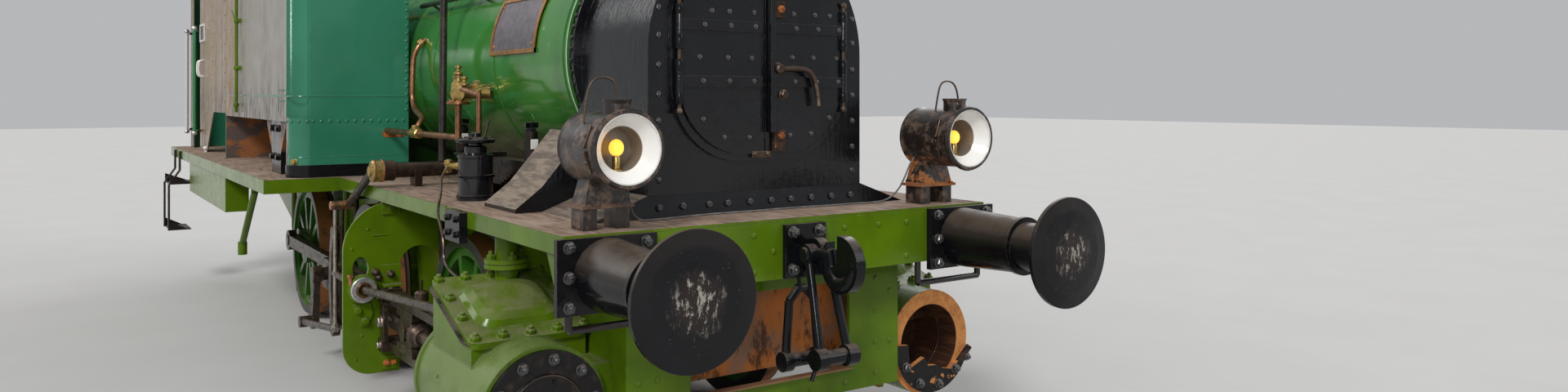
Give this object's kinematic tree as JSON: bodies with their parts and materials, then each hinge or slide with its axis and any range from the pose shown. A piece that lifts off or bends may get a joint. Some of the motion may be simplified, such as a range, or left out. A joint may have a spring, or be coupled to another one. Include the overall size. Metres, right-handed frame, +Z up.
{
  "type": "side-tank steam locomotive with six coupled wheels",
  "caption": "Small side-tank steam locomotive with coupled spoked wheels, outside cylinders and motion, two-leaf smokebox door, buffers, screw couplings, lamps and an open cab.",
  "frame": {"origin": "under the middle of the length over buffers, on the centre line, at the height of the wheel flanges' lowest points", "axes": "+X forward towards the smokebox, +Y to the locomotive's left, +Z up"},
  "size_m": [9.65, 3.1, 3.878],
  "materials": {
    "frame_green": "gloss paint, light green, worn and dusty",
    "boiler_green": "gloss paint, mid green",
    "tank_green": "gloss paint, blue green",
    "side_paint": "old grey brown paint, half gloss",
    "smokebox_black": "gloss black paint",
    "buffer_black": "gloss black paint, worn at the faces",
    "deck_plate": "dusty brown plate",
    "motion_steel": "oiled steel",
    "tyre_steel": "dark tyre steel",
    "under_black": "oily black iron",
    "lamp_metal": "worn black paint over brown metal",
    "brass_work": "dull brass",
    "cable_sheath": "dark grey sheath"
  },
  "bodies": {
    "root": {"frames": "frame_green", "axle_boxes": "under_black", "buffer_beams": "frame_green", "front_plate": "frame_green", "running_plate": "deck_plate", "motion_plates": "frame_green", "buffers": "buffer_black", "draw_gear": "buffer_black", "smokebox": "smokebox_black", "boiler": "boiler_green", "chimney": "smokebox_black", "domes": "boiler_green", "tank_left": "tank_green", "tank_right": "tank_green", "cab_front": "tank_green", "cab_rear": "tank_green", "cab_side_left": "side_paint", "cab_side_right": "side_paint", "cab_roof": "smokebox_black", "coal_bunker": "tank_green", "backhead_fittings": "brass_work", "cylinder_left": "frame_green", "cylinder_right": "frame_green", "slide_bars": "motion_steel", "crossheads": "motion_steel", "main_rods": "motion_steel", "valve_gear": "motion_steel", "reversing_shaft": "motion_steel", "springs": "under_black", "brake_gear": "under_black", "sand_pipes": "frame_green", "cab_steps": "under_black", "lamps": "lamp_metal", "handrails": "buffer_black", "boiler_fittings": "brass_work", "lamp_cable": "cable_sheath"},
    "axle_front": {"axle_front": "tyre_steel"},
    "axle_middle": {"axle_middle": "tyre_steel"},
    "axle_rear": {"axle_rear": "tyre_steel"},
    "coupling_rod_left": {"coupling_rod_left": "motion_steel"},
    "coupling_rod_right": {"coupling_rod_right": "motion_steel"},
    "door_leaf_left": {"smokebox_door_left": "smokebox_black"},
    "door_leaf_right": {"smokebox_door_right": "smokebox_black"},
    "lid_left": {"tank_lid_left": "smokebox_black"},
    "lid_right": {"tank_lid_right": "smokebox_black"}
  },
  "joints": [
    {"name": "axle_middle_spin", "type": "hinge", "parent": "root", "child": "axle_middle", "pos_m": [0.625, 0, 0.528], "axis": [0, 1, 0], "continuous": true},
    {"name": "axle_front_spin", "type": "hinge", "parent": "root", "child": "axle_front", "pos_m": [2.475, 0, 0.528], "axis": [0, 1, 0], "continuous": true},
    {"name": "axle_rear_spin", "type": "hinge", "parent": "root", "child": "axle_rear", "pos_m": [-1.225, 0, 0.528], "axis": [0, 1, 0], "continuous": true},
    {"name": "coupling_rod_left_swing", "type": "hinge", "parent": "axle_middle", "child": "coupling_rod_left", "pos_m": [0.58159, 0.87, 0.2818], "axis": [0, 1, 0], "continuous": true},
    {"name": "door_leaf_left_hinge", "type": "hinge", "parent": "root", "child": "door_leaf_left", "pos_m": [3.912, 0.421, 1.888], "axis": [0, 0, 1], "range_deg": [0, 110]},
    {"name": "lid_left_hinge", "type": "hinge", "parent": "root", "child": "lid_left", "pos_m": [0.125, 1.16, 2.5785], "axis": [-1, 0, 0], "range_deg": [0, 100]},
    {"name": "coupling_rod_right_swing", "type": "hinge", "parent": "axle_middle", "child": "coupling_rod_right", "pos_m": [0.3788, -0.87, 0.57141], "axis": [0, 1, 0], "continuous": true},
    {"name": "door_leaf_right_hinge", "type": "hinge", "parent": "root", "child": "door_leaf_right", "pos_m": [3.912, -0.421, 1.888], "axis": [0, 0, -1], "range_deg": [0, 110]},
    {"name": "lid_right_hinge", "type": "hinge", "parent": "root", "child": "lid_right", "pos_m": [0.125, -1.16, 2.5785], "axis": [1, 0, 0], "range_deg": [0, 100]}
  ],
  "couplings": [
    {"joint": "axle_front_spin", "follows": "axle_middle_spin", "ratio": 1},
    {"joint": "axle_rear_spin", "follows": "axle_middle_spin", "ratio": 1},
    {"joint": "coupling_rod_left_swing", "follows": "axle_middle_spin", "ratio": -1},
    {"joint": "coupling_rod_right_swing", "follows": "axle_middle_spin", "ratio": -1}
  ]
}
